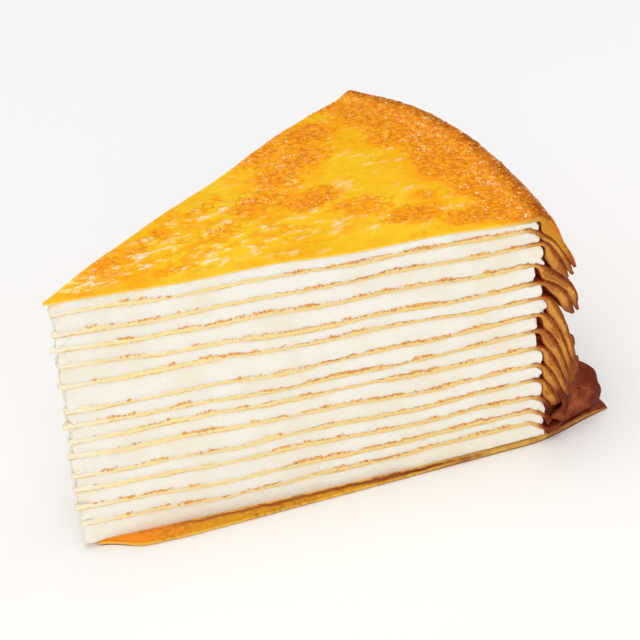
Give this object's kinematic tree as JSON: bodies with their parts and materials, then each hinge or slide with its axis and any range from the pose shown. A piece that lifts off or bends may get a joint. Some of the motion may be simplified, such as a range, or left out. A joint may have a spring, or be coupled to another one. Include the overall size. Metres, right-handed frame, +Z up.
{
  "type": "crepe cake slice",
  "caption": "Wedge-shaped slice of layered crepe cake: thin crepes with whipped cream between them, a glazed browned top and crepe edges hanging over the rim.",
  "frame": {"origin": "on the resting plane under the lowest crepe, on the slice's middle line, 60 mm behind the tip", "axes": "+X from the tip to the rim along the middle line, +Y towards the far cut, +Z up"},
  "size_m": [0.1209, 0.0787, 0.0578],
  "materials": {
    "glazed_crepe": "glossy golden glaze with browned mottling",
    "crepe": "soft satin, pale yellow to golden brown",
    "base_crepe": "satin, amber brown",
    "cream": "smooth matt whipped cream"
  },
  "bodies": {
    "root": {"crepe_01": "glazed_crepe", "cream_01": "cream", "crepe_02": "crepe", "cream_02": "cream", "crepe_03": "crepe", "cream_03": "cream", "crepe_04": "crepe", "cream_04": "cream", "crepe_05": "crepe", "cream_05": "cream", "crepe_06": "crepe", "cream_06": "cream", "crepe_07": "crepe", "cream_07": "cream", "crepe_08": "crepe", "cream_08": "cream", "crepe_09": "crepe", "cream_09": "cream", "crepe_10": "crepe", "cream_10": "cream", "crepe_11": "crepe", "cream_11": "cream", "crepe_12": "crepe", "cream_12": "cream", "crepe_13": "crepe", "cream_13": "cream", "crepe_14": "crepe", "cream_14": "cream", "crepe_15": "base_crepe"}
  },
  "joints": []
}
